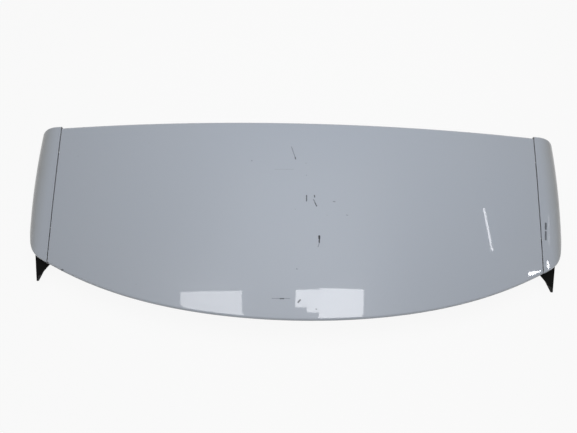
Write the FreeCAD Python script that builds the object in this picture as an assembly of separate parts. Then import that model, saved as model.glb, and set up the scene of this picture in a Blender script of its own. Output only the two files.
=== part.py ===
"""Tailgate spoiler for a tall hatchback: a painted centre skin, two painted end caps, two black side fins,
a moulded lower shell, a stop lamp in the tail face, and the hardware that fixes them.

Frame: X to the right across the car, Y forward, Z up. The side fins stand on the plane Z = 0.
"""
import FreeCAD, Part
import math
import os
from FreeCAD import Vector

# Outline of the painted top, in millimetres
SEAM_HALF_FRONT = 521.0     # centre plane to the end cap seam, at the front edge
SEAM_HALF_REAR = 510.0      # centre plane to the end cap seam, at the tail
SEAM_LENGTH = 302.0         # front edge to tail along the seam
SEAM_GAP = 2.8              # open joint between centre skin and end cap
FRONT_BOW = 7.0             # how far the front edge bows forward on the centre plane
TAIL_BOW = 108.0            # how far the tail bows rearward on the centre plane
TAIL_SQUARENESS = 0.23      # share of the tail bow that follows a fourth power
TOP_HEIGHT = 127.0          # front edge above the rest plane, on the centre plane
CROWN = 32.0                # fall of the top from the centre plane to the seam
FRONT_SLOPE = 0.044         # fall of the top per millimetre at the front edge
CAMBER = 9.5e-5             # growth of that fall, per millimetre squared

# Centre skin
SKIN_WALL = 3.0
FRONT_LIP = 14.0            # height of the turned-down front lip
FRONT_INNER_RADIUS = 3.0
TAIL_FACE_MIDDLE = 28.0     # height of the tail face on the centre plane
TAIL_FACE_END = 20.0        # height of the tail face at the seam
TAIL_LEAN = math.radians(14.0)
TAIL_INNER_RADIUS = 2.0
BOND_GAP = 0.3              # adhesive gap between bonded mouldings

# End caps
CAP_WIDTH = 39.5            # width of the cap's top from the seam to the unrounded shoulder
CAP_SIDE_BOW = 6.5          # extra width of that top half way along
CAP_ROLL_RADIUS = 26.0
CAP_SIDE_ANGLE = math.radians(62.0)   # lean of the side wall from the horizontal
CAP_BOTTOM = 48.0           # height of the cap's lower edge
CAP_FRONT_PROUD = 3.0       # cap's front wall ahead of the skin's front edge
CAP_FRONT_CORNER = 48.0     # radius in plan
CAP_REAR_CORNER = 60.0      # radius in plan
CAP_EDGE_RADIUS = 4.0       # rounding of the rim of the cap's top
CAP_SKIRT = 2.0             # upright skirt set into the foot of the side wall
CAP_FLANK_BLEND = 250.0     # radius in plan between side and flank
FLANK_OFFSET = 35.5         # rear flank outside the seam's rear end
FLANK_TAPER = 0.195         # narrowing of the flank to the seam, per millimetre rearward
CAP_FLANGE_WIDTH = 18.0     # inward flange along the cap's lower edge
CAP_OPEN = 45.0             # how far the cap's forming surfaces run past the seam, before it is trimmed
JOGGLE_WIDTH = 18.0         # step of the cap that reaches under the centre skin
JOGGLE_ROOT = 6.0           # foot of that step on the cap
JOGGLE_END = 18.0           # end of that step inside the seam's ends
TAB_Y = 85.0                # screw tabs before and behind the middle of the seam
TAB_WIDTH = 22.0
TAB_REACH = 20.0
TAB_DEPTH = 14.0            # screw tab below the painted top

# Side fins
FIN_OVERHANG = 37.0         # fin tip behind the rear end of the seam
FIN_TIP_INNER_RADIUS = 2.5
FIN_ROOT = 12.0             # inner end of the fin's rear edge, ahead of the seam's rear end
FIN_REAR_HOLLOW = 3.0       # how far the fin's rear edge bows inward
FIN_FRONT = 112.0           # front end of the fin from the middle of the seam
FIN_FOOT_FRONT = 62.0       # front end of the fin's foot from the middle of the seam
FIN_RAKE = 50.0             # foot's rear end ahead of the tip
FIN_WALL = 3.0
FIN_INSET = 1.0             # fin's outer face inside the cap's lower edge
FIN_SCREW_FRONT = 72.0
FIN_SCREW_MIDDLE = -14.0
FIN_SCREW_REAR = -112.0
FIN_SCREW_LENGTH = 13.0

# Lower shell
SHELL_WALL = 2.5
SHELL_FLANGE = 22.0         # bonding flange behind the front lip
SHELL_DEPTH_MIDDLE = 44.0   # floor below the painted top on the centre plane
SHELL_DEPTH_END = 27.0      # the same, at the seam
SHELL_RAMP = 26.0           # length of the ramp from the flange down to the floor
SHELL_TAIL_FLANGE = 11.0
SHELL_BEND = 4.0
SHELL_FLOOR_RADIUS = 12.0
SHELL_END_MARGIN = 40.0     # shell's end wall inside the narrower end of the seam
SHELL_HALF = min(SEAM_HALF_FRONT, SEAM_HALF_REAR) - SHELL_END_MARGIN
RIB_END_MARGIN = 85.0       # outer ribs inside the shell's end wall
RIB_X = (75.0, 235.0, SHELL_HALF - RIB_END_MARGIN)
RIB_TAIL_CLEAR = 48.0       # ribs and lamp opening end this far inside the tail face

# Stop lamp in the tail face
LAMP_HALF = 125.0
LAMP_HEIGHT = 12.8
LAMP_GAP = 0.6
LAMP_RIM = 3.0              # rim of lens and housing past the slot, above and below
LAMP_SIDE_RIM = 6.0         # the same, at the slot's ends
LAMP_DEPTH = 18.0
LAMP_WALL = 2.0
GASKET = 1.5
LAMP_SEAT = SKIN_WALL + GASKET + LAMP_WALL   # housing's rim inside the tail face
TAIL_SLOPE = FRONT_SLOPE + 2 * CAMBER * (SEAM_LENGTH + FRONT_BOW + TAIL_BOW)
TAIL_WEDGE = math.tan(TAIL_LEAN - math.atan(TAIL_SLOPE))   # closing of the skin over the lamp, per depth
LAMP_AIR = 0.5              # housing's upper side under the skin
LAMP_TOP = SKIN_WALL + LAMP_RIM + LAMP_AIR + (LAMP_SEAT + LAMP_DEPTH) * TAIL_WEDGE   # slot under the edge
BOARD = 1.6
LED_COUNT = 12
LED_SIZE = 3.5
LED_LIFT = 0.05             # film under light sources and gasket
EAR_LENGTH = 15.0
SOCKET_HALF = 9.0
SOCKET_HEIGHT = 13.0
SOCKET_DEPTH = 13.0

# Fixings
MOUNT_HEIGHT = 52.0         # plane of the tailgate's skin under the seals
SEAL_THICKNESS = 4.0
PAD_HEIGHT = MOUNT_HEIGHT + SEAL_THICKNESS
STUD_X = 310.0
STUD_FRONT_Y = 62.0
STUD_REAR_Y = -58.0
STUD_RADIUS = 3.0
STUD_LENGTH = 18.0          # free length below the seal
STUD_SHOULDER = 4.5         # radius of the plain shank in boss and seal
STUD_PLATE = 2.0
STUD_PLATE_RADIUS = 11.0
BOSS_RADIUS = 16.0
PIN_X = 180.0
PIN_Y = 20.0
PIN_RADIUS = 4.0
PIN_LENGTH = 14.0           # free length below the tailgate's plane
SCREW_RADIUS = 1.5
SCREW_HEAD_RADIUS = 3.6
SCREW_HEAD = 2.2
SCREW_BOSS_RADIUS = 4.5
PILOT_CLEAR = 0.1           # rod in its hole, radially
HOLE_CLEAR = 0.5            # screw in its clearance hole, radially
CLIP_END_MARGIN = 38.0      # outer clips inside the shell's end wall
CLIP_X = (150.0, SHELL_HALF - CLIP_END_MARGIN)
CLIP_Y = 78.0
CLIP_COLLAR_RADIUS = 8.0
CLIP_NECK_RADIUS = 3.0
CLIP_BARB_RADIUS = 4.6
CLIP_LENGTH = 18.0
BUFFER_X = 200.0
BUFFER_Y = -150.0
BUFFER_RADIUS = 10.0
BUFFER_NECK = 4.0
BUFFER_LENGTH = 11.0
FRONT_SEAL_WIDTH = 9.0
FRONT_SEAL_DROP = 5.0

# Fineness of the smooth surfaces
SKIN_STATIONS = 9
BAR_STATIONS = 7
CAP_ROWS = 9
STRIP_ROWS = 6
STRIP_COLUMNS = 4


def seam_half(y):
    """Distance of the seam from the centre plane."""
    middle = (SEAM_HALF_FRONT + SEAM_HALF_REAR) / 2
    return middle + (SEAM_HALF_FRONT - SEAM_HALF_REAR) * y / SEAM_LENGTH


def front_edge(x):
    """Y of the front edge."""
    return SEAM_LENGTH / 2 + FRONT_BOW * (1 - (x / SEAM_HALF_FRONT) ** 2)


def tail_edge(x):
    """Y of the tail edge: a bow of second and fourth powers."""
    square = (x / SEAM_HALF_REAR) ** 2
    return -SEAM_LENGTH / 2 - TAIL_BOW * (1 - (1 - TAIL_SQUARENESS) * square - TAIL_SQUARENESS * square ** 2)


def top(x, y):
    """Height of the painted top."""
    back = front_edge(0) - y
    return TOP_HEIGHT - CROWN * (x / SEAM_HALF_FRONT) ** 2 - FRONT_SLOPE * back - CAMBER * back ** 2


def tail_face(x):
    """Height of the tail face, along its lean."""
    return TAIL_FACE_MIDDLE + (TAIL_FACE_END - TAIL_FACE_MIDDLE) * (x / SEAM_HALF_REAR) ** 2


def tail_point(x, down, out):
    """(y, z) at a distance down the leaning tail face and out of it."""
    y = tail_edge(x) + down * math.sin(TAIL_LEAN) - out * math.cos(TAIL_LEAN)
    z = top(x, tail_edge(x)) - down * math.cos(TAIL_LEAN) - out * math.sin(TAIL_LEAN)
    return y, z


def unit(a):
    length = math.hypot(*a)
    return a[0] / length, a[1] / length


def leg_ends(a, b, sag):
    """Unit directions at the start and the end of a leg that bows by sag in its second coordinate."""
    along, rise = b[0] - a[0], b[1] - a[1]
    return unit((along, rise + 4 * sag)), unit((along, rise - 4 * sag))


def rounded_path(points, radii, sags, place):
    """Edges of an open path: straight or bowed legs joined by tangent arcs. place maps 2-D to 3-D."""
    edges = []
    start = points[0]
    for i in range(len(points) - 1):
        a, b = points[i], points[i + 1]
        end, arc = b, None
        if i + 1 < len(points) - 1 and radii[i] > 0:
            back = leg_ends(a, b, sags[i])[1]
            ahead = leg_ends(b, points[i + 2], sags[i + 1])[0]
            u, v = (-back[0], -back[1]), ahead
            half = math.acos(u[0] * v[0] + u[1] * v[1]) / 2
            trim = radii[i] / math.tan(half)
            middle = unit((u[0] + v[0], u[1] + v[1]))
            near = radii[i] / math.sin(half) - radii[i]
            end = (b[0] + u[0] * trim, b[1] + u[1] * trim)
            top_of_arc = (b[0] + middle[0] * near, b[1] + middle[1] * near)
            leave = (b[0] + v[0] * trim, b[1] + v[1] * trim)
            arc = Part.Arc(place(*end), place(*top_of_arc), place(*leave)).toShape()
        if sags[i]:
            share = (end[0] - start[0]) / (b[0] - a[0])
            pole = ((start[0] + end[0]) / 2, (start[1] + end[1]) / 2 + 2 * sags[i] * share ** 2)
            curve = Part.BezierCurve()
            curve.setPoles([place(*start), place(*pole), place(*end)])
            edges.append(curve.toShape())
        else:
            edges.append(Part.LineSegment(place(*start), place(*end)).toShape())
        start = end
        if arc:
            edges.append(arc)
            start = leave
    return edges


def offset_path(points, radii, sags, wall):
    """The same path a wall's thickness to its left: its points and its radii."""
    starts = [leg_ends(points[i], points[i + 1], sags[i])[0] for i in range(len(sags))]
    ends = [leg_ends(points[i], points[i + 1], sags[i])[1] for i in range(len(sags))]
    moved, moved_radii = [], []
    for i, (a, b) in enumerate(points):
        before = ends[i - 1] if i else starts[0]
        after = starts[i] if i < len(starts) else ends[-1]
        share = wall / (1 + before[0] * after[0] + before[1] * after[1])
        moved.append((a - (before[1] + after[1]) * share, b + (before[0] + after[0]) * share))
        if 0 < i < len(points) - 1:
            turn = before[0] * after[1] - before[1] * after[0]
            moved_radii.append(radii[i - 1] - math.copysign(wall, turn))
    return moved, moved_radii


def strip_wire(points, radii, sags, wall, place):
    """Closed outline of a wall that lies to the left of a path."""
    inner, inner_radii = offset_path(points, radii, sags, wall)
    edges = rounded_path(points, radii, sags, place)
    edges.append(Part.LineSegment(place(*points[-1]), place(*inner[-1])).toShape())
    edges += rounded_path(inner[::-1], inner_radii[::-1], sags[::-1], place)
    edges.append(Part.LineSegment(place(*inner[0]), place(*points[0])).toShape())
    return Part.Wire(edges)


def lofted(wire_at, half, count):
    """Solid through the outlines that wire_at gives at evenly spaced x positions from -half to half."""
    return Part.makeLoft([wire_at(half * (2 * i / (count - 1) - 1)) for i in range(count)], True, False)


def across(x):
    """Places a (y, z) point in the plane at x."""
    return lambda y, z: Vector(x, y, z)


def level(z):
    """Places a (y, x) point in the level plane at z."""
    return lambda y, x: Vector(x, y, z)


def prism(points, low, high):
    """Upright prism on a plan polygon of (x, y) points."""
    face = Part.Face(Part.makePolygon([Vector(x, y, low) for x, y in points + points[:1]]))
    return face.extrude(Vector(0, 0, high - low))


def side_prism(points, x_low, x_high):
    """Prism across the car on a side polygon of (y, z) points."""
    face = Part.Face(Part.makePolygon([Vector(x_low, y, z) for y, z in points + points[:1]]))
    return face.extrude(Vector(x_high - x_low, 0, 0))


def under_top(x_low, x_high, y_low, y_high, depth, thickness):
    """Strip that follows the painted top at a depth below it. x_low and x_high are functions of y."""
    grid = []
    for i in range(STRIP_ROWS):
        y = y_low + (y_high - y_low) * i / (STRIP_ROWS - 1)
        left, right = x_low(y), x_high(y)
        xs = [left + (right - left) * j / (STRIP_COLUMNS - 1) for j in range(STRIP_COLUMNS)]
        grid.append([Vector(x, y, top(x, y) - depth) for x in xs])
    return sheet_solid(grid, thickness)


def sheet_solid(grid, thickness):
    """Solid of one thickness, straight down, under a smooth sheet through a grid of points."""
    sheet = Part.BSplineSurface()
    sheet.interpolate(grid)
    return sheet.toShape().extrude(Vector(0, 0, -thickness))


def tail_bar(x_low, x_high, down, out):
    """Bar that follows the tail face between two distances down it and two distances out of it."""
    corners = [(down[0], out[0]), (down[1], out[0]), (down[1], out[1]), (down[0], out[1]), (down[0], out[0])]
    wires = []
    for i in range(BAR_STATIONS):
        x = x_low + (x_high - x_low) * i / (BAR_STATIONS - 1)
        wires.append(Part.makePolygon([Vector(x, *tail_point(x, *corner)) for corner in corners]))
    return Part.makeLoft(wires, True, False)


def tail_rod(x, down, out_from, out_to, radius):
    """Round rod square to the tail face."""
    step = 1.0
    right, left = x + step, x - step
    ahead = Vector(right, *tail_point(right, down, 0)) - Vector(left, *tail_point(left, down, 0))
    outward = Vector(0, math.sin(TAIL_LEAN), -math.cos(TAIL_LEAN)).cross(ahead).normalize()
    foot = Vector(x, *tail_point(x, down, 0)) + outward * out_from
    return Part.makeCylinder(radius, out_to - out_from, foot, outward)


def rod(x, y, low, high, radius):
    """Upright round rod."""
    return Part.makeCylinder(radius, high - low, Vector(x, y, low), Vector(0, 0, 1))


def turned(x, y, profile):
    """Upright turned piece: profile is (radius, height) points that start and end on the axis."""
    points = [Vector(x + radius, y, z) for radius, z in profile + profile[:1]]
    return Part.Face(Part.makePolygon(points)).revolve(Vector(x, y, 0), Vector(0, 0, 1), 360)


def screw(x, y, seat, length):
    """Upright screw with its head below the seat."""
    shank = rod(x, y, seat - SCREW_HEAD, seat + length, SCREW_RADIUS)
    return shank.fuse(rod(x, y, seat - SCREW_HEAD, seat, SCREW_HEAD_RADIUS))


def cap_screw(x, y):
    """Screw from below through a cap's tab into the skin's boss."""
    seat = top(x, y) - TAB_DEPTH - SKIN_WALL - BOND_GAP - tilt(x, SCREW_HEAD_RADIUS)
    return screw(x, y, seat, top(x, y) - SKIN_WALL - BOND_GAP - seat)


def mirrored(shape):
    """The same piece on the left side of the car."""
    return shape.mirror(Vector(0, 0, 0), Vector(1, 0, 0))


def both_sides(shape):
    """A piece and its mirror image."""
    return [shape, mirrored(shape)]


def save(name, origin, *solids):
    """Writes one node, a single solid or several as a group, with y counted from the origin."""
    shape = (solids[0] if len(solids) == 1 else Part.makeCompound(list(solids))).copy()
    shape.translate(Vector(0, -origin, 0))
    shape.exportStep(f"parts/{name}.step")


# Centre skin

def skin_outline(x):
    """Section of the centre skin: front lip, cambered top and leaning tail face."""
    front, tail = front_edge(x), tail_edge(x)
    points = [(front, top(x, front) - FRONT_LIP), (front, top(x, front)), (tail, top(x, tail)),
              tail_point(x, tail_face(x), 0)]
    sags = [0, CAMBER * ((front - tail) / 2) ** 2, 0]
    radii = [FRONT_INNER_RADIUS + SKIN_WALL, TAIL_INNER_RADIUS + SKIN_WALL]
    return strip_wire(points, radii, sags, SKIN_WALL, across(x))


def tab_screws():
    """(x, y) of the right cap's screw tabs."""
    return [(seam_half(y) - TAB_REACH / 2, y) for y in (-TAB_Y, TAB_Y)]


def tilt(x, radius):
    """Fall of the painted top across the car over a radius."""
    return 2 * CROWN * x / SEAM_HALF_FRONT ** 2 * radius


def lamp_ear():
    """x of the lamp's right screw."""
    return LAMP_HALF + LAMP_SIDE_RIM + EAR_LENGTH / 2


def between_seams():
    """Upright block between the two seams."""
    far = SEAM_LENGTH + TAIL_BOW
    ahead, behind = seam_half(far) - SEAM_GAP / 2, seam_half(-far) - SEAM_GAP / 2
    return prism([(ahead, far), (-ahead, far), (-behind, -far), (behind, -far)], -TOP_HEIGHT, 2 * TOP_HEIGHT)


def upper_skin():
    half = max(SEAM_HALF_FRONT, SEAM_HALF_REAR) + SEAM_GAP
    skin = lofted(skin_outline, half, SKIN_STATIONS).common(between_seams())
    bosses, holes = [], []
    for x, y in tab_screws():
        seat = top(x, y) - TAB_DEPTH + BOND_GAP + tilt(x, SCREW_BOSS_RADIUS)
        bosses += both_sides(rod(x, y, seat, top(x, y) - SKIN_WALL / 2, SCREW_BOSS_RADIUS))
        hole = rod(x, y, seat, top(x, y) - SKIN_WALL, SCREW_RADIUS + PILOT_CLEAR)
        holes += both_sides(hole)
    middle = LAMP_TOP + LAMP_HEIGHT / 2
    bosses += both_sides(tail_rod(lamp_ear(), middle, -LAMP_SEAT, -SKIN_WALL / 2, SCREW_BOSS_RADIUS))
    holes += both_sides(tail_rod(lamp_ear(), middle, -LAMP_SEAT, -SKIN_WALL / 2, SCREW_RADIUS + PILOT_CLEAR))
    slot = tail_bar(-LAMP_HALF, LAMP_HALF, (LAMP_TOP, LAMP_TOP + LAMP_HEIGHT), (-2 * SKIN_WALL, SKIN_WALL))
    return skin.fuse(bosses).cut(holes + [slot]).removeSplitter()


# End caps

def shoulder(y):
    """Half width at which the end cap's top and side wall would meet without their rounding."""
    return seam_half(y) + CAP_WIDTH + CAP_SIDE_BOW * (1 - (2 * y / SEAM_LENGTH) ** 2)


def low_edge(y, low=CAP_BOTTOM):
    """Half width of the end cap's side wall at a height."""
    return shoulder(y) + (top(shoulder(y), y) - low) / math.tan(CAP_SIDE_ANGLE)


def cap_inner():
    """Half width at which the end cap's plan begins, before the cap is trimmed at the seam."""
    return min(SEAM_HALF_FRONT, SEAM_HALF_REAR) - CAP_OPEN


def cap_section(y, inset, low):
    """Outline across the car of the end cap, or of its hollow at an inset: leaning side, shoulder and top."""
    inner = cap_inner() - CAP_OPEN
    edge = shoulder(y)
    points = [(low_edge(y, low), low), (edge, top(edge, y)), (inner, top(inner, y)), (inner, low)]
    sags = [0, CROWN * ((edge - inner) / 2 / SEAM_HALF_FRONT) ** 2, 0]
    points, radii = offset_path(points, [CAP_ROLL_RADIUS, 0], sags, inset)
    points[0], points[-1] = (points[0][0], low), (points[-1][0], low)
    edges = rounded_path(points, radii, sags, lambda x, z: Vector(x, y, z))
    edges.append(Part.LineSegment(Vector(points[-1][0], y, low), Vector(points[0][0], y, low)).toShape())
    return Part.Wire(edges)


def cap_body(inset, low):
    """Solid under the end cap's top and side, or under their inner faces at an inset."""
    far = SEAM_LENGTH / 2 + CAP_OPEN
    rows = [far * (2 * i / (CAP_ROWS - 1) - 1) for i in range(CAP_ROWS)]
    return Part.makeLoft([cap_section(y, inset, low) for y in rows], True, False)


def meet(p, along, q, other):
    """Point where two plan lines cross."""
    cross = along[0] * other[1] - along[1] * other[0]
    share = ((q[0] - p[0]) * other[1] - (q[1] - p[1]) * other[0]) / cross
    return p[0] + along[0] * share, p[1] + along[1] * share


def flank(y):
    """Half width of the rear flank."""
    return seam_half(y) + FLANK_OFFSET + FLANK_TAPER * (y + SEAM_LENGTH / 2)


def cap_side():
    """Plan line of the skirt under the end cap's side: a point and a direction."""
    front = SEAM_LENGTH / 2 - CAP_FRONT_CORNER
    point = (low_edge(0) - CAP_SKIRT, 0)
    return point, unit((low_edge(front) - low_edge(0), front))


def cap_outline(inset, height):
    """Plan of the end cap at a height: straight front, round corners, tapering flank and leaning tail."""
    rear = -SEAM_LENGTH / 2
    front = -rear + CAP_FRONT_PROUD - inset
    side, side_run = cap_side()
    side = (side[0] - side_run[1] * inset, side[1] + side_run[0] * inset)
    lean = (top(SEAM_HALF_REAR, rear) - height) * math.tan(TAIL_LEAN)
    tail_run = unit((SEAM_HALF_REAR, TAIL_BOW * (2 + 2 * TAIL_SQUARENESS)))
    tail = (SEAM_HALF_REAR - tail_run[1] * inset, rear + lean + tail_run[0] * inset)
    flank_run = unit((flank(0) - flank(rear), -rear))
    flank_point = (flank(rear) - flank_run[1] * inset, rear + flank_run[0] * inset)
    inner = cap_inner()
    points = [(inner, front), meet(side, side_run, (0, front), (1, 0)),
              meet(side, side_run, flank_point, flank_run), meet(flank_point, flank_run, tail, tail_run),
              meet((inner, 0), (0, 1), tail, tail_run)]
    radii = [CAP_FRONT_CORNER - inset, CAP_FLANK_BLEND, CAP_REAR_CORNER - inset]
    edges = rounded_path(points, radii, [0] * 4, lambda x, y: Vector(x, y, height))
    edges.append(Part.LineSegment(Vector(*points[-1], height), Vector(*points[0], height)).toShape())
    return Part.Wire(edges)


def cap_plan(inset, low):
    """Block that trims the end cap, or its hollow, to its plan."""
    return Part.makeLoft([cap_outline(inset, low), cap_outline(inset, TOP_HEIGHT)], True, True)


def cap_form():
    """Solid form of the end cap, with a rounded rim where its top and side meet its front, skirt and tail."""
    plan = cap_plan(0, CAP_BOTTOM)
    form = cap_body(0, CAP_BOTTOM - CAP_SKIRT).common(plan)
    rim = []
    for edge in form.Edges:
        middle = Part.Vertex(edge.valueAt((edge.FirstParameter + edge.LastParameter) / 2))
        above = min(vertex.Z for vertex in edge.Vertexes) > CAP_BOTTOM + CAP_SKIRT / 4
        outside = middle.X > cap_inner() + CAP_EDGE_RADIUS
        if above and outside and plan.Shells[0].distToShape(middle)[0] < PILOT_CLEAR:
            rim.append(edge)
    return form.makeFillet(CAP_EDGE_RADIUS, rim)


def cap_hollow():
    """Inside of the end cap, without what stands in it."""
    low = CAP_BOTTOM - SKIN_WALL
    return cap_body(SKIN_WALL, low - CAP_SKIRT).common(cap_plan(SKIN_WALL, low)).cut(cap_lands())


def fin_screws():
    """(x, y) of the right fin's screws."""
    spots = [(fin_side(y) - CAP_FLANGE_WIDTH / 2, y) for y in (FIN_SCREW_FRONT, FIN_SCREW_MIDDLE)]
    return spots + [(fin_side(FIN_SCREW_REAR) - CAP_FLANGE_WIDTH, FIN_SCREW_REAR)]


def cap_lands():
    """What stands inside the end cap's hollow: the lower flange and the fin screws' bosses."""
    far = SEAM_LENGTH
    flange_top = CAP_BOTTOM + SKIN_WALL
    widen = FIN_SCREW_REAR + 2 * CAP_FLANGE_WIDTH
    points = [(low_edge(y) - CAP_FLANGE_WIDTH, y) for y in (far / 2 + CAP_FRONT_PROUD, 0, widen)]
    points += [(seam_half(y) + JOGGLE_ROOT, y) for y in (FIN_SCREW_REAR + CAP_FLANGE_WIDTH, -far)]
    points += [(2 * SEAM_HALF_FRONT, -far), (2 * SEAM_HALF_FRONT, far / 2 + CAP_FRONT_PROUD)]
    lands = [prism(points, CAP_BOTTOM, flange_top)]
    boss_top = CAP_BOTTOM + FIN_SCREW_LENGTH
    lands += [rod(x, y, CAP_BOTTOM, boss_top, SCREW_BOSS_RADIUS) for x, y in fin_screws()]
    return lands


def beyond_seam():
    """Upright block outside the right seam."""
    far = SEAM_LENGTH
    ahead, behind = seam_half(far) + SEAM_GAP / 2, seam_half(-far) + SEAM_GAP / 2
    wide = 2 * SEAM_HALF_FRONT
    return prism([(ahead, far), (behind, -far), (wide, -far), (wide, far)], -TOP_HEIGHT, 2 * TOP_HEIGHT)


def seam_offset(offset):
    """Line beside the seam, as a function of y."""
    return lambda y: seam_half(y) + offset


def cap_joggle():
    """Stepped edge of the right cap that reaches under the centre skin, with its screw tabs."""
    root, half_gap = SEAM_GAP / 2 + JOGGLE_ROOT, SEAM_GAP / 2
    depth = SKIN_WALL + BOND_GAP
    margin, half = SEAM_LENGTH / 2 - JOGGLE_END, TAB_WIDTH / 2
    pieces = []
    foot = seam_offset(root)
    for low, high in ((-margin, -TAB_Y - half), (half - TAB_Y, TAB_Y - half), (TAB_Y + half, margin)):
        pieces.append(under_top(seam_offset(-JOGGLE_WIDTH), foot, low, high, depth, SKIN_WALL))
        pieces.append(under_top(seam_offset(half_gap), foot, low, high, SKIN_WALL / 2, depth))
    for y in (-TAB_Y, TAB_Y):
        low, high = y - half, y + half
        pieces.append(under_top(seam_offset(-TAB_REACH), foot, low, high, TAB_DEPTH, SKIN_WALL))
        pieces.append(under_top(seam_offset(root - SKIN_WALL), foot, low, high, SKIN_WALL / 2, TAB_DEPTH))
    return pieces


def end_cap():
    outer = cap_form().common(beyond_seam())
    holes = [rod(x, y, CAP_BOTTOM, CAP_BOTTOM + FIN_SCREW_LENGTH - SKIN_WALL / 2, SCREW_RADIUS + PILOT_CLEAR)
             for x, y in fin_screws()]
    for x, y in tab_screws():
        low = top(x, y) - TAB_DEPTH - 2 * SKIN_WALL
        holes.append(rod(x, y, low, low + 2 * SKIN_WALL + BOND_GAP, SCREW_RADIUS + HOLE_CLEAR))
    return outer.cut(cap_hollow()).fuse(cap_joggle()).cut(holes).removeSplitter()


# Side fins

def fin_side(y):
    """Half width of the fin's outer face."""
    side, side_run = cap_side()
    return min(side[0] + side_run[0] / side_run[1] * y, flank(y)) - FIN_INSET


def side_fin():
    """Plate under the cap that ends in a pointed tip behind it, with a raked blade along its outer edge."""
    rear = -SEAM_LENGTH / 2
    tip = rear - FIN_OVERHANG
    breakpoint_y = FIN_SCREW_REAR + CAP_FLANGE_WIDTH
    middle = (FIN_FRONT + breakpoint_y) / 2
    bow = fin_side(middle) - (fin_side(FIN_FRONT) + fin_side(breakpoint_y)) / 2
    root = (rear + FIN_ROOT, SEAM_HALF_REAR)
    path = [(FIN_FRONT, fin_side(FIN_FRONT)), (breakpoint_y, fin_side(breakpoint_y)),
            (tip, flank(tip) - FIN_INSET), root]
    radii, sags = [0, FIN_TIP_INNER_RADIUS + FIN_WALL], [bow, 0, FIN_REAR_HOLLOW]
    inner = [(y, fin_side(y) - CAP_FLANGE_WIDTH) for y in (breakpoint_y + CAP_FLANGE_WIDTH, FIN_FRONT)]
    outline = rounded_path(path + inner + path[:1], radii + [0] * 3, sags + [0, bow, 0], level(0))
    plate_low, behind = CAP_BOTTOM - FIN_WALL, tip - FIN_RAKE
    plate = Part.Face(Part.Wire(outline)).extrude(Vector(0, 0, FIN_WALL))
    plate.translate(Vector(0, 0, plate_low))
    end = tip + 2 * FIN_TIP_INNER_RADIUS
    side = path[:2] + [(end, flank(end) - FIN_INSET)]
    blade = Part.Face(strip_wire(side, [0], [bow, 0], FIN_WALL, level(0))).extrude(Vector(0, 0, CAP_BOTTOM))
    far = 2 * SEAM_HALF_FRONT
    rake = [(tip + FIN_RAKE, 0), (end, plate_low), (behind, plate_low), (behind, 0)]
    nose = [(FIN_FOOT_FRONT, 0), (FIN_FRONT, CAP_BOTTOM / 2), (FIN_FRONT + FIN_RAKE, CAP_BOTTOM / 2),
            (FIN_FRONT + FIN_RAKE, 0)]
    fin = plate.fuse(blade).cut([side_prism(rake, 0, far), side_prism(nose, 0, far)])
    holes = [rod(x, y, 0, CAP_BOTTOM, SCREW_RADIUS + HOLE_CLEAR) for x, y in fin_screws()]
    return fin.cut(holes).removeSplitter()


# Lower shell

def shell_path(x):
    """(y, z) points of the shell's upper side: bonding flange, ramp, floor and tail flange."""
    depth = SKIN_WALL + BOND_GAP
    front = front_edge(x) - depth - FRONT_INNER_RADIUS
    knee, ramp_end = front - SHELL_FLANGE, front - SHELL_FLANGE - SHELL_RAMP
    drop = SHELL_DEPTH_MIDDLE + (SHELL_DEPTH_END - SHELL_DEPTH_MIDDLE) * (x / SEAM_HALF_FRONT) ** 2
    inside = -(depth + SHELL_WALL)
    tail_foot = tail_face(x) - SHELL_WALL
    return [(front, top(x, front) - depth), (knee, top(x, knee) - depth), (ramp_end, top(x, ramp_end) - drop),
            tail_point(x, tail_foot, inside), tail_point(x, tail_foot - SHELL_TAIL_FLANGE, inside)]


def shell_outline(x):
    """Section of the lower shell."""
    radii = [SHELL_BEND + SHELL_WALL, SHELL_FLOOR_RADIUS, SHELL_BEND]
    return strip_wire(shell_path(x), radii, [0] * 4, SHELL_WALL, across(x))


def floor_height(x, y):
    """Height of the shell's floor, on its upper side."""
    (y_front, z_front), (y_tail, z_tail) = shell_path(x)[2:4]
    return z_tail + (z_front - z_tail) * (y - y_tail) / (y_front - y_tail)


def shell_rib(x, tail_clear):
    """Upright rib between floor and skin, on the centre's side of x, that stops short of the tail."""
    depth = SKIN_WALL + BOND_GAP
    knee = shell_path(x)[1]
    ramp_end = shell_path(x)[2]
    tail = shell_path(x)[3][0] + tail_clear
    sink = SHELL_WALL / 2
    points = [knee, (ramp_end[0], ramp_end[1] - sink), (tail, floor_height(x, tail) - sink),
              (tail, top(x, tail) - depth), knee]
    sags = [0, 0, 0, CAMBER * ((knee[0] - tail) / 2) ** 2]
    face = Part.Face(Part.Wire(rounded_path(points, [0] * 3, sags, across(x))))
    return face.extrude(Vector(-SHELL_WALL, 0, 0))


def stud_spots():
    """(x, y) of the right-hand studs."""
    return [(STUD_X, STUD_FRONT_Y), (STUD_X, STUD_REAR_Y)]


def boss_top(x, y):
    """Height of a boss's inner end above the shell's floor."""
    return floor_height(x, y) + SHELL_WALL


def clip_tower(x, y):
    """Box under the floor, open in front, with a hole for the clip's neck in its base."""
    half = CLIP_COLLAR_RADIUS + SHELL_WALL
    high = floor_height(x, y) - SHELL_WALL / 2
    low = PAD_HEIGHT
    outer = Part.makeBox(2 * half, 2 * half, high - low, Vector(x - half, y - half, low))
    room = Part.makeBox(2 * CLIP_COLLAR_RADIUS, 2 * half, high - low - 2 * SHELL_WALL,
                        Vector(x - CLIP_COLLAR_RADIUS, y - half + SHELL_WALL, low + SHELL_WALL))
    return outer.cut(room).cut(rod(x, y, low, low + SHELL_WALL, CLIP_NECK_RADIUS + PILOT_CLEAR))


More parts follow.
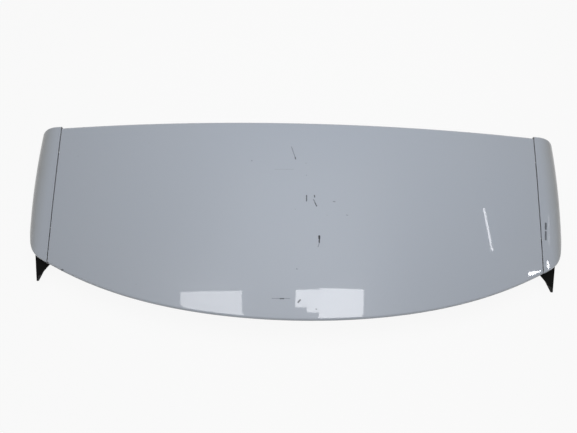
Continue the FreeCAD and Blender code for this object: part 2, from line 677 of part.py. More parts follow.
def locating_pin(x, y):
    """Moulded pin with a tapered end."""
    end = MOUNT_HEIGHT - PIN_LENGTH
    return turned(x, y, [(0, end), (PIN_RADIUS / 2, end), (PIN_RADIUS, end + PIN_RADIUS),
                         (PIN_RADIUS, PAD_HEIGHT), (BOSS_RADIUS / 2, PAD_HEIGHT),
                         (BOSS_RADIUS / 2, floor_height(x, y) - SHELL_WALL / 2),
                         (0, floor_height(x, y) - SHELL_WALL / 2)])


def lower_shell():
    shell = lofted(shell_outline, SHELL_HALF, SKIN_STATIONS)
    stand, holes = both_sides(shell_rib(SHELL_HALF, 0)), []
    for x in RIB_X:
        stand += both_sides(shell_rib(x, RIB_TAIL_CLEAR))
    for x, y in stud_spots():
        stand += both_sides(rod(x, y, PAD_HEIGHT, boss_top(x, y), BOSS_RADIUS))
        holes += both_sides(rod(x, y, PAD_HEIGHT, boss_top(x, y), STUD_SHOULDER + PILOT_CLEAR))
    for x in CLIP_X:
        stand += both_sides(clip_tower(x, CLIP_Y))
    stand += both_sides(locating_pin(PIN_X, PIN_Y))
    inside = boss_top(BUFFER_X, BUFFER_Y)
    stand += both_sides(rod(BUFFER_X, BUFFER_Y, PAD_HEIGHT, inside, BUFFER_RADIUS))
    holes += both_sides(rod(BUFFER_X, BUFFER_Y, PAD_HEIGHT, inside, BUFFER_NECK + PILOT_CLEAR))
    room = lamp_ear() + EAR_LENGTH
    lamp_room = tail_bar(-room, room, (0, 2 * TAIL_FACE_MIDDLE), (-RIB_TAIL_CLEAR, -SKIN_WALL))
    return shell.fuse(stand).cut(holes + [lamp_room]).removeSplitter()


# Stop lamp

def lamp_box(margin, side_margin, out):
    """Bar as long and high as the lamp's slot, with margins past its edges."""
    half = LAMP_HALF + side_margin
    return tail_bar(-half, half, (LAMP_TOP - margin, LAMP_TOP + LAMP_HEIGHT + margin), out)


def lamp_lens():
    seat = SKIN_WALL + GASKET
    body = lamp_box(-LAMP_GAP, -LAMP_GAP, (-seat - LAMP_WALL / 2, 0))
    rim = lamp_box(LAMP_RIM, LAMP_SIDE_RIM, (-LAMP_SEAT, -seat))
    inset = -LAMP_GAP - LAMP_WALL
    return body.fuse(rim).cut(lamp_box(inset, inset, (-2 * LAMP_SEAT, -LAMP_WALL)))


def lamp_gasket():
    outer = lamp_box(LAMP_RIM, LAMP_SIDE_RIM, (-SKIN_WALL - GASKET + LED_LIFT, -SKIN_WALL - LED_LIFT))
    return outer.cut(lamp_box(0, 0, (-2 * LAMP_SEAT, 0)))


def lamp_housing():
    back = -LAMP_SEAT - LAMP_DEPTH
    box = lamp_box(LAMP_RIM, LAMP_SIDE_RIM, (back, -LAMP_SEAT - LED_LIFT))
    hollow = lamp_box(LAMP_RIM - LAMP_WALL, LAMP_SIDE_RIM - LAMP_WALL, (back + LAMP_WALL, 0))
    ear_start = LAMP_HALF + LAMP_SIDE_RIM - LAMP_WALL
    ear = tail_bar(ear_start, ear_start + LAMP_WALL + EAR_LENGTH, (LAMP_TOP, LAMP_TOP + LAMP_HEIGHT),
                   (-LAMP_SEAT - LAMP_WALL, -LAMP_SEAT - PILOT_CLEAR))
    middle = LAMP_TOP + LAMP_HEIGHT / 2
    hole = tail_rod(lamp_ear(), middle, -2 * LAMP_SEAT, 0, SCREW_RADIUS + HOLE_CLEAR)
    socket_down = (LAMP_TOP, LAMP_TOP + SOCKET_HEIGHT)
    socket = tail_bar(-SOCKET_HALF, SOCKET_HALF, socket_down, (back - SOCKET_DEPTH, back + LAMP_WALL / 2))
    inside = (LAMP_TOP + LAMP_WALL, LAMP_TOP + SOCKET_HEIGHT - LAMP_WALL)
    bore = tail_bar(LAMP_WALL - SOCKET_HALF, SOCKET_HALF - LAMP_WALL, inside, (back - 2 * SOCKET_DEPTH, back))
    return box.cut(hollow).fuse(both_sides(ear) + [socket]).cut(both_sides(hole) + [bore])


def lamp_board():
    back = -LAMP_SEAT - LAMP_DEPTH + LAMP_WALL + BOND_GAP
    return lamp_box(-LAMP_WALL, -LAMP_WALL, (back, back + BOARD)), back + BOARD


def lamp_leds(face):
    """Square light sources in a row on the board's face."""
    middle, half = LAMP_TOP + LAMP_HEIGHT / 2, LED_SIZE / 2
    pitch = 2 * LAMP_HALF / LED_COUNT
    low = face + LED_LIFT
    lights = []
    for i in range(LED_COUNT):
        x = pitch * (i + 0.5) - LAMP_HALF
        lights.append(tail_bar(x - half, x + half, (middle - half, middle + half), (low, low + half)))
    return lights


def lamp_screw():
    """Right screw, from inside the shell through the housing's ear into the skin's boss."""
    middle = LAMP_TOP + LAMP_HEIGHT / 2
    seat = -LAMP_SEAT - LAMP_WALL - PILOT_CLEAR
    shank = tail_rod(lamp_ear(), middle, seat - SCREW_HEAD, -SKIN_WALL, SCREW_RADIUS)
    return shank.fuse(tail_rod(lamp_ear(), middle, seat - SCREW_HEAD, seat, SCREW_HEAD_RADIUS))


# Fixings and seals

def stud(x, y):
    """Stud: a round plate on its boss, a plain shank through boss and seal, and the thread below."""
    seat, tip = boss_top(x, y), MOUNT_HEIGHT - STUD_LENGTH
    return turned(x, y, [(0, seat + STUD_PLATE), (STUD_PLATE_RADIUS, seat + STUD_PLATE),
                         (STUD_PLATE_RADIUS, seat), (STUD_SHOULDER, seat), (STUD_SHOULDER, MOUNT_HEIGHT),
                         (STUD_RADIUS, MOUNT_HEIGHT), (STUD_RADIUS, tip), (0, tip)])


def stud_seal(x, y):
    """Foam ring under a boss."""
    ring = rod(x, y, MOUNT_HEIGHT, PAD_HEIGHT, BOSS_RADIUS)
    return ring.cut(rod(x, y, MOUNT_HEIGHT, PAD_HEIGHT, STUD_SHOULDER + BOND_GAP))


def retaining_clip(x, y):
    """Push-in clip: a head in the tower, a neck, a collar and a barbed stem."""
    base, gap = PAD_HEIGHT, BOND_GAP
    plate = base + SHELL_WALL
    head = CLIP_COLLAR_RADIUS - 2 * gap
    return turned(x, y, [(0, plate + gap + SHELL_WALL), (head, plate + gap + SHELL_WALL), (head, plate + gap),
                         (CLIP_NECK_RADIUS, plate + gap), (CLIP_NECK_RADIUS, base - gap),
                         (CLIP_COLLAR_RADIUS, base - gap), (CLIP_COLLAR_RADIUS, base - SHELL_WALL),
                         (CLIP_NECK_RADIUS, base - SHELL_WALL), (CLIP_NECK_RADIUS, base - 2 * SHELL_WALL),
                         (CLIP_BARB_RADIUS, base - 2 * SHELL_WALL - CLIP_NECK_RADIUS / 2),
                         (CLIP_NECK_RADIUS, base - CLIP_LENGTH), (0, base - CLIP_LENGTH)])


def buffer(x, y):
    """Rubber stop with its head in the shell."""
    inside, gap = boss_top(x, y), BOND_GAP
    low = PAD_HEIGHT - BUFFER_LENGTH
    shoulder = low + BUFFER_RADIUS / 2
    return turned(x, y, [(0, inside + gap + SHELL_WALL), (BUFFER_NECK, inside + gap + SHELL_WALL),
                         (BUFFER_RADIUS / 2 + gap, inside + gap), (BUFFER_NECK, inside + gap),
                         (BUFFER_NECK, PAD_HEIGHT - gap), (BUFFER_RADIUS, PAD_HEIGHT - gap),
                         (BUFFER_RADIUS, shoulder), (BUFFER_RADIUS / 2, low), (0, low)])


def seal_outline(x):
    """Section of the rubber seal under the bonding flange, with a round lower side."""
    depth = SKIN_WALL + BOND_GAP + SHELL_WALL + PILOT_CLEAR
    front = front_edge(x) - 2 * SKIN_WALL
    rear = front - FRONT_SEAL_WIDTH
    height = top(x, rear) - depth
    low = height - FRONT_SEAL_DROP
    points = [(rear, height), (rear, low), ((front + rear) / 2, low - FRONT_SEAL_WIDTH / 4), (front, low),
              (front, height)]
    edges = [Part.LineSegment(across(x)(*points[0]), across(x)(*points[1])).toShape(),
             Part.Arc(*[across(x)(*point) for point in points[1:4]]).toShape(),
             Part.LineSegment(across(x)(*points[3]), across(x)(*points[4])).toShape(),
             Part.LineSegment(across(x)(*points[4]), across(x)(*points[0])).toShape()]
    return Part.Wire(edges)


def main():
    os.makedirs("parts", exist_ok=True)
    skin = upper_skin()
    box = skin.optimalBoundingBox()
    origin = (box.YMin + box.YMax) / 2
    save("upper_skin", origin, skin)
    cap, fin = end_cap(), side_fin()
    cap_fixings = [cap_screw(x, y) for x, y in tab_screws()]
    fin_fixings = [screw(x, y, CAP_BOTTOM - FIN_WALL, FIN_SCREW_LENGTH) for x, y in fin_screws()]
    for side, turn in (("right", lambda shape: shape), ("left", mirrored)):
        save(f"end_cap_{side}", origin, turn(cap))
        save(f"side_fin_{side}", origin, turn(fin))
        save(f"cap_screws_{side}", origin, *[turn(piece) for piece in cap_fixings])
        save(f"fin_screws_{side}", origin, *[turn(piece) for piece in fin_fixings])
    save("lower_shell", origin, lower_shell())
    save("stop_lamp_lens", origin, lamp_lens())
    save("stop_lamp_gasket", origin, lamp_gasket())
    save("stop_lamp_housing", origin, lamp_housing())
    board, face = lamp_board()
    save("stop_lamp_board", origin, board)
    save("stop_lamp_leds", origin, *lamp_leds(face))
    save("stop_lamp_screws", origin, *both_sides(lamp_screw()))
    save("mounting_studs", origin, *[piece for spot in stud_spots() for piece in both_sides(stud(*spot))])
    save("stud_seals", origin, *[piece for spot in stud_spots() for piece in both_sides(stud_seal(*spot))])
    clips = [piece for x in CLIP_X for piece in both_sides(retaining_clip(x, CLIP_Y))]
    save("retaining_clips", origin, *clips)
    save("buffers", origin, *both_sides(buffer(BUFFER_X, BUFFER_Y)))
    save("front_edge_seal", origin, lofted(seal_outline, SHELL_HALF, SKIN_STATIONS))


main()
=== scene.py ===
"""Tailgate spoiler on a pale studio floor: paint coats over the centre skin and end caps, and the finishes of
every plastic, rubber, lamp and zinc piece below them. Shapes are worked out in millimetres.
"""
import math

import bmesh
import bpy
import numpy as np
from mathutils import Matrix, Vector


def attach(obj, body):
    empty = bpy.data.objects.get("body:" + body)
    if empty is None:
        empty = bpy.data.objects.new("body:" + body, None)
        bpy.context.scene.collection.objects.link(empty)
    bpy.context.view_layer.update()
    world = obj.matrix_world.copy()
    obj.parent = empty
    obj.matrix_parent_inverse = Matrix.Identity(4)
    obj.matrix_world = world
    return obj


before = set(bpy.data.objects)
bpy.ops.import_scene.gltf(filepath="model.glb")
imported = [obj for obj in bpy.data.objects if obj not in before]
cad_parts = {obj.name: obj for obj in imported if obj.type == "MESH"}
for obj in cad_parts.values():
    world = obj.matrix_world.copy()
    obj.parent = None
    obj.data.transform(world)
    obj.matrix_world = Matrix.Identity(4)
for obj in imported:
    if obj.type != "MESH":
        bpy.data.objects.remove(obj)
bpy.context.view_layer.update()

MM = 0.001

# Shape of the painted top, as the solids have it
SEAM_MIDDLE_Y = 49.891      # middle of the seam in the row's frame
SEAM_HALF = 515.5           # seam from the centre plane, at its middle
SEAM_SLANT = 11.0 / 302.0
SEAM_END = 151.0            # ends of the seam from its middle
SEAM_GAP = 2.8
FRONT_HALF = 521.0
FRONT_BOW = 7.0
TAIL_HALF = 510.0
TAIL_BOW = 108.0
TAIL_SQUARENESS = 0.23
TAIL_LEAN = math.radians(14.0)
TAIL_FACE = (28.0, 20.0)    # height of the tail face, at the middle and at the seam
TOP_HEIGHT = 127.0
CROWN = 32.0
FRONT_SLOPE = 0.044
CAMBER = 9.5e-5
FRONT_LIP = 14.0
FRONT_RADIUS = 6.0
TAIL_RADIUS = 5.0
LAMP_HALF = 125.0
LAMP_SLOT = (9.5, 22.3)     # upper and lower edge of the lamp's slot, down the tail face

# End caps
CAP_WIDTH = 39.5
CAP_SIDE_BOW = 6.5
CAP_ROLL = 26.0
CAP_SIDE_ANGLE = math.radians(62.0)
CAP_BOTTOM = 48.0
CAP_FRONT = 154.0
CAP_CORNERS = (48.0, 250.0, 60.0)   # plan radii: front corner, side to flank, rear corner
CAP_RIM = 4.0
CAP_SKIRT = 2.0
FLANK_OFFSET = 35.5
FLANK_TAPER = 0.195

# Paint coats
COAT = 0.35                 # thickness of primer, colour and clear coat
LIFT = 0.28                 # coat's outer face over the solids' nominal surface
BEAD = 0.4                  # rounded edge of the coat along the seams

# Grid of the coats, as points on each stretch
LIP_ROWS, BEND_ROWS, TOP_ROWS = 3, 14, 90    # skin's section: front lip, each rounding, top
LAMP_COLUMNS, SIDE_COLUMNS = 14, 42          # across half the skin: beside the lamp, and on to the seam
BEAD_STEPS = 7
CAP_BENDS = (30, 24, 30)                     # round a cap's plan: each corner
CAP_LEGS = (8, 44, 10)                       # the side before each corner
CAP_TAIL_LEG = 12
CAP_COLUMNS, RIM_STEPS, WALL_STEPS = 80, 9, 6    # from the seam outward: top, rim, wall

# Searches for the skin's ends and for the line where a cap's rim starts
SKIN_ROUNDS, RIM_ROUNDS = 4, 12
WALL_GUESS = 70.0           # first guess of the height where the rim meets the wall
WALL_LEAST = 0.4            # wall that is left below the rim at the least
RIM_PROBE = 0.3             # step each way over which the fall is measured
RIM_FALL = (-0.2, 8)        # bounds of that fall

# Camera fitted to the seams and edges
PICTURE = (577, 433)
FOCAL = 500.0               # pixels
AZIMUTH, ELEVATION, ROLL = 0.559, 71.178, 0.727   # degrees
DISTANCE = 1040.3
TARGET = (-15.2, 4.5, 95.0)


def seam_half(y):
    """Seam's half width: a straight line that slants outward to the front."""
    return SEAM_HALF + SEAM_SLANT * y


def front_edge(x):
    """Front edge: a parabola across the car."""
    return SEAM_END + FRONT_BOW * (1 - (x / FRONT_HALF) ** 2)


def tail_edge(x):
    """Tail edge: a bow of second and fourth powers of the half width."""
    square = (x / TAIL_HALF) ** 2
    return -SEAM_END - TAIL_BOW * (1 - (1 - TAIL_SQUARENESS) * square - TAIL_SQUARENESS * square ** 2)


def top(x, y):
    """Painted top: a parabola across the car less a parabola along it."""
    back = SEAM_END + FRONT_BOW - y
    return TOP_HEIGHT - CROWN * (x / FRONT_HALF) ** 2 - FRONT_SLOPE * back - CAMBER * back ** 2


def slope(y):
    """Fall of the top per millimetre rearward."""
    return FRONT_SLOPE + 2 * CAMBER * (SEAM_END + FRONT_BOW - y)


def tail_face(x):
    """Height of the tail face along its lean."""
    return TAIL_FACE[0] + (TAIL_FACE[1] - TAIL_FACE[0]) * (x / TAIL_HALF) ** 2


def unit(v):
    """Vectors along the last axis, scaled to length one."""
    return v / np.linalg.norm(v, axis=-1, keepdims=True)


def arc(corner, before, after, radius, count):
    """Rounding of a corner between two outward normals: points of a circle that touches both sides, and the
    normals there. The normals turn evenly from one to the other."""
    crossed = before[..., 0] * after[..., 1] - before[..., 1] * after[..., 0]
    turn = np.arctan2(crossed, (before * after).sum(-1))
    share = np.linspace(0, 1, count)
    angle = np.arctan2(before[..., 1], before[..., 0])[..., None] + turn[..., None] * share
    normal = np.stack([np.cos(angle), np.sin(angle)], -1)
    centre = corner - radius * (before + after) / (1 + (before * after).sum(-1, keepdims=True))
    return centre[..., None, :] + radius * normal, normal


def run(start, end, count):
    """Points evenly spaced on a line, without its two ends."""
    share = np.linspace(0, 1, count + 2)[1:-1]
    return start[..., None, :] + (end - start)[..., None, :] * share[:, None]


def quads(rows, columns):
    """Corner numbers of the faces of a grid."""
    number = np.arange(rows * columns).reshape(rows, columns)
    return np.stack([number[:-1, :-1], number[1:, :-1], number[1:, 1:], number[:-1, 1:]], -1).reshape(-1, 4)


def coat_piece(name, points, faces, material):
    """Closed coat: a grid's faces, joined where they meet, given the paint's thickness inward."""
    mesh = bpy.data.meshes.new(name)
    places = (points.reshape(-1, 3) + (0, SEAM_MIDDLE_Y, 0)) * MM
    mesh.from_pydata(places.tolist(), [], faces.tolist())
    work = bmesh.new()
    work.from_mesh(mesh)
    bmesh.ops.remove_doubles(work, verts=work.verts, dist=0.02 * MM)
    bmesh.ops.dissolve_degenerate(work, edges=work.edges, dist=0.01 * MM)
    work.to_mesh(mesh)
    work.free()
    mesh.shade_smooth()
    piece = bpy.data.objects.new(name, mesh)
    bpy.context.collection.objects.link(piece)
    wall = piece.modifiers.new("coat", "SOLIDIFY")
    wall.thickness = COAT * MM
    wall.offset = -1
    mesh.materials.append(material)
    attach(piece, "root")
    return piece


def skin_section(x):
    """Section of the centre skin's outside at each x: front lip, front rounding, cambered top, tail rounding
    and leaning tail face, as points (y, z) and their normals. The tail face has rows at the edges of the
    lamp's slot, drawn together with the face towards the ends."""
    front, tail = front_edge(x), tail_edge(x)
    corner_front = np.stack([front, top(x, front)], -1)
    corner_tail = np.stack([tail, top(x, tail)], -1)
    ahead = np.stack([np.ones_like(x), np.zeros_like(x)], -1)
    up_front = unit(np.stack([-slope(front), np.ones_like(x)], -1))
    up_tail = unit(np.stack([-slope(tail), np.ones_like(x)], -1))
    behind = np.broadcast_to([-math.cos(TAIL_LEAN), -math.sin(TAIL_LEAN)], ahead.shape)
    bend_front, turn_front = arc(corner_front, ahead, up_front, FRONT_RADIUS, BEND_ROWS)
    bend_tail, turn_tail = arc(corner_tail, up_tail, behind, TAIL_RADIUS, BEND_ROWS)
    lip = run(corner_front - (0, FRONT_LIP), bend_front[..., 0, :], LIP_ROWS)
    lip = np.concatenate([corner_front[..., None, :] - (0, FRONT_LIP), lip], -2)
    y = run(bend_front[..., -1, :], bend_tail[..., 0, :], TOP_ROWS)[..., 0]
    crown = np.stack([y, top(x[..., None], y)], -1)
    rise = unit(np.stack([-slope(y), np.ones_like(y)], -1))
    lamp_face = tail_face(LAMP_HALF)
    down = np.minimum(1, tail_face(x) / lamp_face)[..., None] * np.array([*LAMP_SLOT, lamp_face])
    tail_side = corner_tail[..., None, :] + down[..., None] * [math.sin(TAIL_LEAN), -math.cos(TAIL_LEAN)]
    points = np.concatenate([lip, bend_front, crown, bend_tail, tail_side], -2)
    normals = np.concatenate([np.broadcast_to(ahead[..., None, :], lip.shape), turn_front, rise, turn_tail,
                              np.broadcast_to(behind[..., None, :], tail_side.shape)], -2)
    return points, normals


def skin_coat(material):
    """Coat of the centre skin: its section carried across the car. The end columns follow the slanting seams
    and roll down into the joint by a quarter circle; the lamp's slot is left out of the tail face. Each row's
    place across the car is found in a few rounds, since the seam slants along the section."""
    turn = np.radians(np.linspace(0, 90, BEAD_STEPS))
    half = np.concatenate([np.linspace(0, LAMP_HALF, LAMP_COLUMNS),
                           np.linspace(LAMP_HALF, SEAM_HALF, SIDE_COLUMNS)[1:],
                           np.full(len(turn) - 1, SEAM_HALF)])
    reach = np.concatenate([np.zeros(len(half) - len(turn)), BEAD * np.sin(turn)])
    drop = np.concatenate([np.zeros(len(half) - len(turn)), BEAD * (1 - np.cos(turn))])
    mirrored = ((half, -1), (reach, -1), (drop, 1))
    half, reach, drop = [np.concatenate([sign * v[:0:-1], v]) for v, sign in mirrored]
    follow = np.clip((np.abs(half) - LAMP_HALF) / (SEAM_HALF - LAMP_HALF), 0, 1) * np.sign(half)
    row = np.arange(skin_section(half)[0].shape[-2])
    x = np.repeat(half[:, None], len(row), 1)
    for _ in range(SKIN_ROUNDS):
        section, normal = [v[:, row, row] for v in skin_section(x)]
        x = half[:, None] + follow[:, None] * (seam_half(section[..., 0]) - SEAM_GAP / 2 - SEAM_HALF)
    lean = 2 * CROWN * x / FRONT_HALF ** 2 * np.clip(normal[..., 1], 0, 1)
    outward = unit(np.concatenate([lean[..., None], normal], -1))
    points = np.concatenate([(x + reach[:, None])[..., None], section], -1)
    points = points + outward * (LIFT - drop[:, None, None])
    faces = quads(*points.shape[:2])
    middle = points.reshape(-1, 3)[faces].mean(1)
    rows = points.shape[1] - 1
    in_slot = (np.arange(len(faces)) % rows == rows - 2) & (np.abs(middle[:, 0]) < LAMP_HALF)
    return coat_piece("paint_coat_centre", points, faces[~in_slot, ::-1], material)


def shoulder(y):
    """Half width of an end cap's unrounded shoulder: beside the seam, bowed out half way along."""
    return seam_half(y) + CAP_WIDTH + CAP_SIDE_BOW * (1 - (y / SEAM_END) ** 2)


def cap_height(x, y):
    """Height of an end cap: the painted top, then a circle that rolls over the shoulder, then the leaning
    side."""
    edge = shoulder(y)
    lean = 2 * CROWN * edge / FRONT_HALF ** 2
    over = unit(np.stack([lean, np.ones_like(lean)], -1))
    side = np.array([math.sin(CAP_SIDE_ANGLE), math.cos(CAP_SIDE_ANGLE)])
    corner = np.stack([edge, top(edge, y)], -1)
    centre = corner - CAP_ROLL * (over + side) / (1 + (over * side).sum(-1, keepdims=True))
    start, end = centre[..., 0] + CAP_ROLL * over[..., 0], centre[..., 0] + CAP_ROLL * side[0]
    roll = centre[..., 1] + np.sqrt(np.clip(CAP_ROLL ** 2 - (x - centre[..., 0]) ** 2, 0, None))
    wall = corner[..., 1] - (x - edge) * math.tan(CAP_SIDE_ANGLE)
    return np.where(x < start, top(x, y), np.where(x < end, roll, wall))


def cap_normal(x, y, step=0.2):
    """Normals of an end cap's top, from the differences of its height over a small step each way."""
    along_x = (cap_height(x + step, y) - cap_height(x - step, y)) / (2 * step)
    along_y = (cap_height(x, y + step) - cap_height(x, y - step)) / (2 * step)
    return unit(np.stack([-along_x, -along_y, np.ones_like(along_x)], -1))


def low_edge(y):
    """Half width of an end cap's side at its lower edge."""
    return shoulder(y) + (top(shoulder(y), y) - CAP_BOTTOM) / math.tan(CAP_SIDE_ANGLE)


def meet(p, along, q, other):
    """Point where two plan lines cross."""
    spread = along[0] * other[1] - along[1] * other[0]
    share = ((q[0] - p[0]) * other[1] - (q[1] - p[1]) * other[0]) / spread
    return np.array([p[0] + along[0] * share, p[1] + along[1] * share])


def cap_plan(height):
    """Right end cap's plan at a height, from the seam's front end round to its rear end: straight front,
    round corner, side, wide blend into the tapering flank, round corner, and the tail, which leans."""
    near = SEAM_END - CAP_CORNERS[0]
    side, side_run = (low_edge(0) - CAP_SKIRT, 0), (low_edge(near) - low_edge(0), near)
    lean = (top(TAIL_HALF, -SEAM_END) - height) * math.tan(TAIL_LEAN)
    tail, tail_run = (TAIL_HALF, lean - SEAM_END), (TAIL_HALF, TAIL_BOW * (2 + 2 * TAIL_SQUARENESS))
    rear = seam_half(-SEAM_END) + FLANK_OFFSET
    flank_run = (SEAM_SLANT + FLANK_TAPER, 1)
    seam = (SEAM_HALF + SEAM_GAP / 2, 0)
    front = (0, CAP_FRONT)
    corners = [meet(seam, (SEAM_SLANT, 1), front, (1, 0)), meet(side, side_run, front, (1, 0)),
               meet(side, side_run, (rear, -SEAM_END), flank_run),
               meet((rear, -SEAM_END), flank_run, tail, tail_run),
               meet(seam, (SEAM_SLANT, 1), tail, tail_run)]
    steps = [unit(b - a) for a, b in zip(corners, corners[1:])]
    normals = [np.array([-step[1], step[0]]) for step in steps]
    path = [corners[0][None]]
    for i, (radius, count, leg) in enumerate(zip(CAP_CORNERS, CAP_BENDS, CAP_LEGS)):
        bend = arc(corners[i + 1], normals[i], normals[i + 1], radius, count)[0]
        path += [run(path[-1][-1], bend[0], leg), bend]
    path += [run(path[-1][-1], corners[-1], CAP_TAIL_LEG), corners[-1][None]]
    return np.concatenate(path)


def cap_coat(name, side, material):
    """Coat of an end cap: lines from the seam to the plan's edge lie on the cap's height, then a circle
    rounds the rim and the wall drops to the lower edge. side is 1 on the right and -1 on the left."""
    low, high = cap_plan(CAP_BOTTOM), cap_plan(TOP_HEIGHT)
    level = np.full(len(low), WALL_GUESS)
    inset = np.full(len(low), CAP_RIM / 2)
    for _ in range(RIM_ROUNDS):
        share = ((level - CAP_BOTTOM) / (TOP_HEIGHT - CAP_BOTTOM))[:, None]
        plan = low + (high - low) * share
        step = unit(np.gradient(plan, axis=0))
        out = np.stack([-step[:, 1], step[:, 0]], -1)
        rim = plan - out * inset[:, None]
        ahead, behind = rim + out * RIM_PROBE, rim - out * RIM_PROBE
        fall = cap_height(behind[:, 0], behind[:, 1]) - cap_height(ahead[:, 0], ahead[:, 1])
        tip = np.arctan(np.clip(fall / (2 * RIM_PROBE), *RIM_FALL))
        inset = CAP_RIM * (1 - np.sin(tip))
        rim_height = cap_height(rim[:, 0], rim[:, 1])
        level = np.clip(rim_height - CAP_RIM * np.cos(tip), CAP_BOTTOM + WALL_LEAST, None)
    length = np.concatenate([[0], np.cumsum(np.linalg.norm(np.diff(rim, axis=0), axis=1))])
    seam_y = rim[0, 1] + (rim[-1, 1] - rim[0, 1]) * length / length[-1]
    seam = np.stack([seam_half(seam_y) + SEAM_GAP / 2, seam_y], -1)
    across = np.linspace(0, 1, CAP_COLUMNS)
    plan_top = seam[:, None] + (rim - seam)[:, None] * across[:, None]
    crown = np.concatenate([plan_top, cap_height(plan_top[..., 0], plan_top[..., 1])[..., None]], -1)
    turn = np.radians(np.linspace(90, 0, BEAD_STEPS))[:-1]
    lip = np.repeat(crown[:, :1], len(turn), 1)
    lip = lip - np.stack([BEAD * np.sin(turn), 0 * turn, BEAD * (1 - np.cos(turn))], -1)
    angle = tip[:, None] + (np.pi / 2 - tip[:, None]) * np.linspace(0, 1, RIM_STEPS)[1:]
    away = CAP_RIM * (np.sin(angle) - np.sin(tip)[:, None])
    bend_height = rim_height[:, None] + CAP_RIM * (np.cos(angle) - np.cos(tip)[:, None])
    bend = np.concatenate([rim[:, None] + out[:, None] * away[..., None], bend_height[..., None]], -1)
    fall = level[:, None] + (CAP_BOTTOM - level[:, None]) * np.linspace(0, 1, WALL_STEPS)[1:]
    share = (fall - CAP_BOTTOM)[..., None] / (TOP_HEIGHT - CAP_BOTTOM)
    wall = np.concatenate([low[:, None] + (high - low)[:, None] * share, fall[..., None]], -1)
    rise = cap_normal(crown[..., 0], crown[..., 1])
    around = np.concatenate([out[:, None] * np.sin(angle)[..., None], np.cos(angle)[..., None]], -1)
    level_out = np.concatenate([out, np.zeros((len(out), 1))], -1)
    normals = np.concatenate([np.repeat(rise[:, :1], len(turn), 1), rise, around,
                              np.repeat(level_out[:, None], wall.shape[1], 1)], 1)
    points = np.concatenate([lip, crown, bend, wall], 1) + LIFT * normals
    points[..., 0] *= side
    faces = quads(*points.shape[:2])
    return coat_piece(name, points, faces if side > 0 else faces[:, ::-1], material)


class Wire:
    """A shader socket. Arithmetic on it adds Math nodes, and node() adds any other node to the same tree."""

    def __init__(self, tree, socket=None):
        self.tree = tree
        self.socket = socket

    def node(self, kind, settings=None, sockets=None, out=0):
        made = self.tree.nodes.new(kind)
        for key, value in (settings or {}).items():
            setattr(made, key, value)
        for key, value in (sockets or {}).items():
            if isinstance(value, Wire):
                self.tree.links.new(value.socket, made.inputs[key])
            else:
                made.inputs[key].default_value = value
        return Wire(self.tree, made.outputs[out])

    def math(self, operation, *values):
        return self.node("ShaderNodeMath", {"operation": operation}, dict(enumerate(values)))

    def __add__(self, other):
        return self.math("ADD", self, other)

    def __sub__(self, other):
        return self.math("SUBTRACT", self, other)

    def __rsub__(self, other):
        return self.math("SUBTRACT", other, self)

    def __mul__(self, other):
        return self.math("MULTIPLY", self, other)

    def __truediv__(self, other):
        return self.math("DIVIDE", self, other)

    def __pow__(self, other):
        return self.math("POWER", self, other)

    __radd__ = __add__
    __rmul__ = __mul__

    def most(self, other):
        return self.math("MAXIMUM", self, other)

    def wave(self, pitch):
        """Sine of this length, with a pitch in the same unit."""
        return self.math("SINE", self * (2 * math.pi / pitch))

    def fade(self, low, high):
        """0 below low, 1 above high, smooth between. With low over high it falls instead."""
        return self.node("ShaderNodeMapRange", {"interpolation_type": "SMOOTHSTEP"},
                         {"Value": self, "From Min": low, "From Max": high})

    def mix(self, a, b):
        """Colour a where this is 0, colour b where it is 1."""
        return self.node("ShaderNodeMix", {"data_type": "RGBA"}, {0: self, 6: a, 7: b}, out=2)


class Finish:
    """A material with one Principled shader, its Object coordinates and noise on them."""

    def __init__(self, name, **constants):
        self.material = bpy.data.materials.new(name)
        self.material.use_nodes = True
        self.tree = self.material.node_tree
        self.shader = self.tree.nodes["Principled BSDF"]
        self.start = Wire(self.tree)
        self.place = self.start.node("ShaderNodeTexCoord", out=3)
        for socket, value in constants.items():
            self.shader.inputs[socket.replace("_", " ")].default_value = value

    def split(self):
        """x, y and z in metres."""
        parts = self.place.node("ShaderNodeSeparateXYZ", {}, {0: self.place})
        outputs = parts.socket.node.outputs
        return [Wire(self.tree, outputs[i]) for i in range(3)]

    def noise(self, size_mm, detail=2.0, roughness=0.5):
        """Smooth noise from 0 to 1 whose features are about a size across."""
        return self.start.node("ShaderNodeTexNoise", {}, {"Vector": self.place, "Scale": 1 / (size_mm * MM),
                                                          "Detail": detail, "Roughness": roughness})

    def cells(self, size_mm, out=0):
        """Cell pattern: distance to the nearest cell centre, or with out=1 a colour for each cell."""
        sockets = {"Vector": self.place, "Scale": 1 / (size_mm * MM)}
        return self.start.node("ShaderNodeTexVoronoi", {}, sockets, out=out)

    def bump(self, height, depth_mm, strength=1.0):
        """Raises the surface by a height from 0 to 1 times a depth."""
        sockets = {"Strength": strength, "Distance": depth_mm * MM, "Height": height}
        self.feed(Normal=self.start.node("ShaderNodeBump", {}, sockets))

    def feed(self, **sockets):
        for name, value in sockets.items():
            self.tree.links.new(value.socket, self.shader.inputs[name.replace("_", " ")])


def rgb(red, green, blue):
    return (red, green, blue, 1.0)


PAINT = rgb(0.376, 0.410, 0.470)
PAINT_COOL = rgb(0.366, 0.406, 0.478)
PAINT_SCRAPED = rgb(0.018, 0.019, 0.024)
# painted shade: darker, more neutral colour for the end caps' outer shoulders and sides, which roll away from
# the light
SIDE_SHADE_COLOUR = rgb(0.215, 0.215, 0.200)
SIDE_SHADE_FADE = (526.0, 566.0)  # from the centre plane: where the painted shade starts, and where it is full
MARK_FADE = (60.0, 70.0)    # heights below and above which there are no marks and full marks
WHITE = rgb(1, 1, 1)
SURROUND = rgb(0.22, 0.21, 0.19)    # light of the surroundings on matt surfaces
FLOOR_GLOW = 0.92           # share of plain white in the floor's look; the rest takes shadow
FLOOR_HALF = 8.0            # metres

# Repeats in relief or colour, in millimetres
THREAD_PITCH = 1.0
LENS_RIB = 4.0
BOARD_LINE = 7.0

